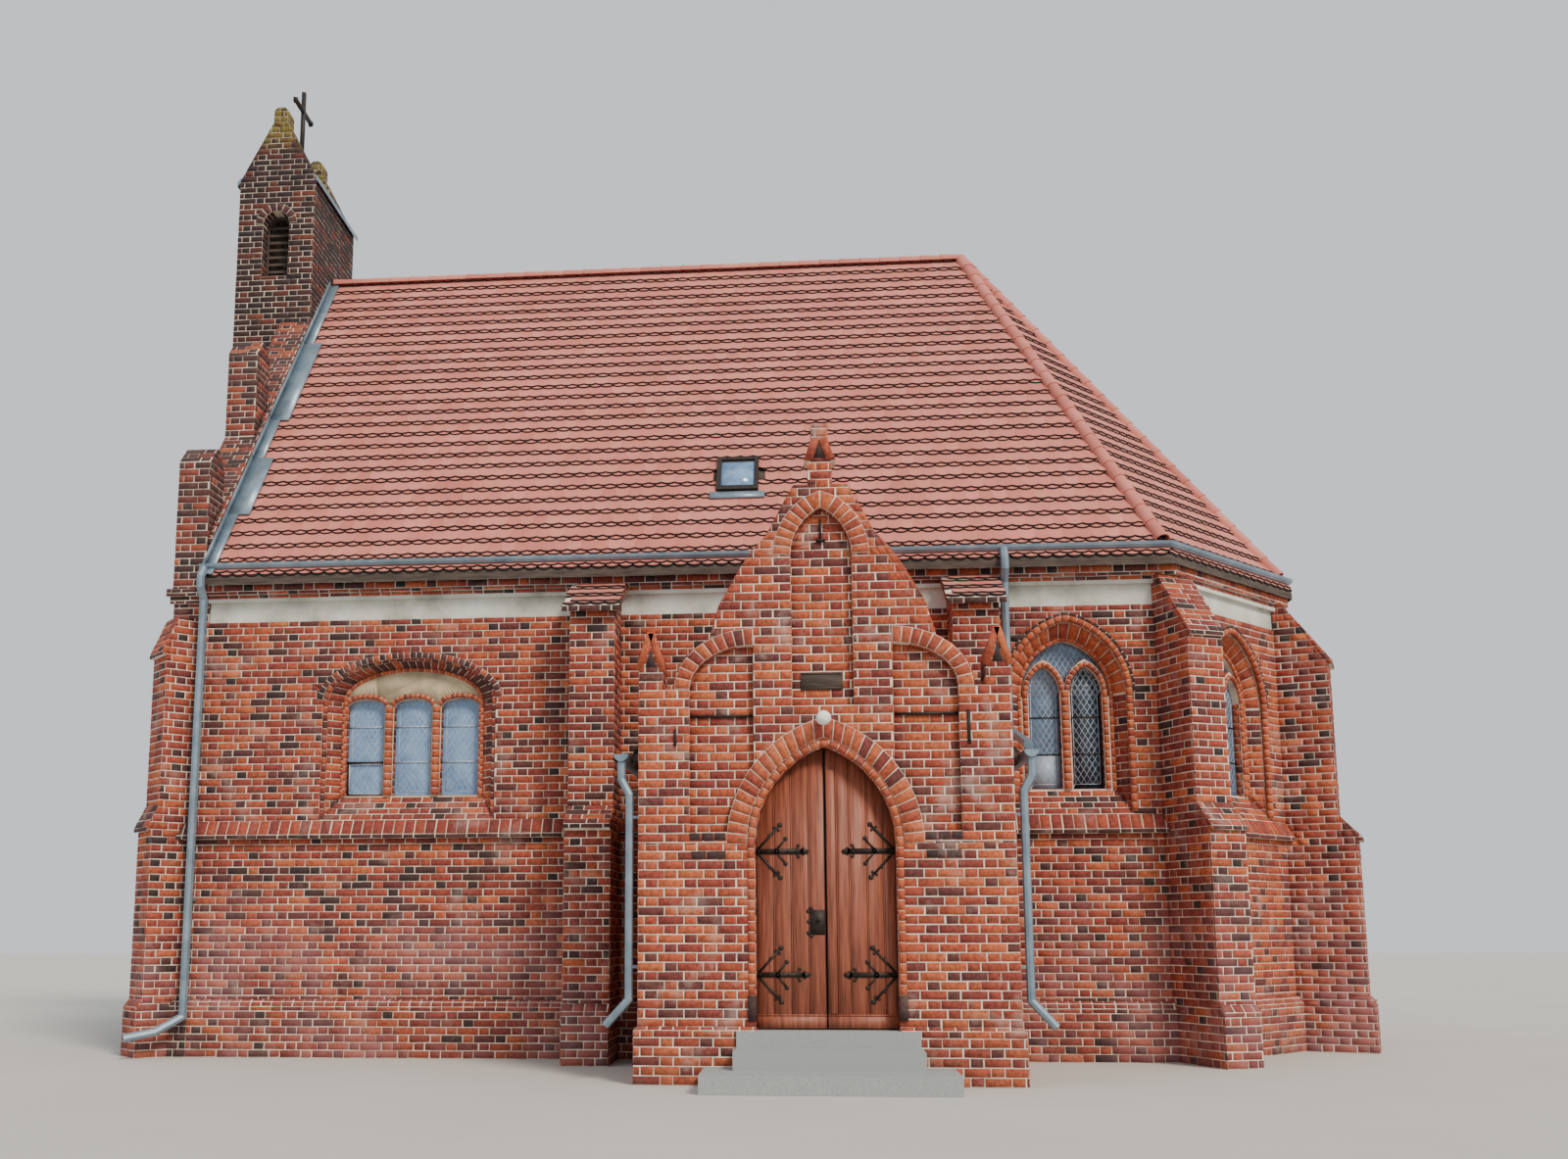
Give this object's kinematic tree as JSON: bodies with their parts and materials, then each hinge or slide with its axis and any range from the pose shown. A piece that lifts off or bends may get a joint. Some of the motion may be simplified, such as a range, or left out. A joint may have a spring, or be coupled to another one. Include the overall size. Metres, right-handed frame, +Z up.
{
  "type": "small brick church with bell tower and porch",
  "caption": "Small brick church with a tiled roof over a many-sided apse, a west gable with a bell tower, buttresses and a south porch whose double door opens.",
  "frame": {"origin": "centre of the footprint's bounding box, at ground level", "axes": "+X east towards the apse, +Y north away from the porch door, +Z up"},
  "size_m": [17.0002, 13.29, 16.27],
  "materials": {
    "brick": "hand-made red brick with wide pale lime joints",
    "old_brick": "old dark red brick with wide pale lime joints",
    "porch_brick": "red brick with pale lime joints",
    "roof_tile": "plain salmon-red clay tile",
    "zinc": "weathered zinc sheet",
    "leaded_glass": "clear glass in lead cames",
    "door_wood": "red-brown stained boards",
    "granite": "grey granite blocks",
    "floor_stone": "stone floor",
    "iron": "black painted iron",
    "dark_wood": "weathered dark boards",
    "opal_glass": "white opal glass"
  },
  "bodies": {
    "church": {"south_wall_west": "brick", "south_wall_over_door": "brick", "south_wall_east": "brick", "southeast_wall": "brick", "east_wall": "brick", "northeast_wall": "brick", "north_wall": "brick", "west_gable_wall": "old_brick", "buttress_south_west_bay": "old_brick", "buttress_south_east_bay": "old_brick", "buttress_north_west_bay": "old_brick", "buttress_north_east_bay": "old_brick", "buttress_south_bend": "old_brick", "buttress_southeast": "old_brick", "buttress_northeast": "old_brick", "buttress_north_bend": "old_brick", "buttress_southwest": "old_brick", "buttress_northwest": "old_brick", "bell_tower": "old_brick", "porch_front_west": "porch_brick", "porch_front_east": "porch_brick", "porch_gable": "porch_brick", "porch_west_wall": "porch_brick", "porch_east_wall": "porch_brick", "porch_roof": "roof_tile", "nave_roof_south": "roof_tile", "nave_roof_north": "roof_tile", "apse_roof": "roof_tile", "ridge_and_hip_tiles": "roof_tile", "gutter_south": "zinc", "gutter_north": "zinc", "porch_gutter_west": "zinc", "porch_gutter_east": "zinc", "glass_south_triple": "leaded_glass", "glass_south_pointed": "leaded_glass", "glass_southeast": "leaded_glass", "glass_east": "leaded_glass", "glass_northeast": "leaded_glass", "glass_north_east_bay": "leaded_glass", "glass_north_middle_bay": "leaded_glass", "glass_north_triple": "leaded_glass", "entrance_steps": "granite", "floor": "floor_stone", "tower_cross": "iron", "roof_skylight": "iron", "turret_roof": "dark_wood", "louvers_south": "dark_wood", "louvers_north": "dark_wood", "porch_lamp": "opal_glass"},
    "west_leaf": {"door_leaf_west": "door_wood"},
    "east_leaf": {"door_leaf_east": "door_wood"}
  },
  "joints": [
    {"name": "west_leaf_hinge", "type": "hinge", "parent": "church", "child": "west_leaf", "pos_m": [0.2999, -5.503, 1.8], "axis": [0, 0, 1], "range_deg": [0, 90]},
    {"name": "east_leaf_hinge", "type": "hinge", "parent": "church", "child": "east_leaf", "pos_m": [1.8999, -5.503, 1.8], "axis": [0, 0, -1], "range_deg": [0, 90]}
  ]
}
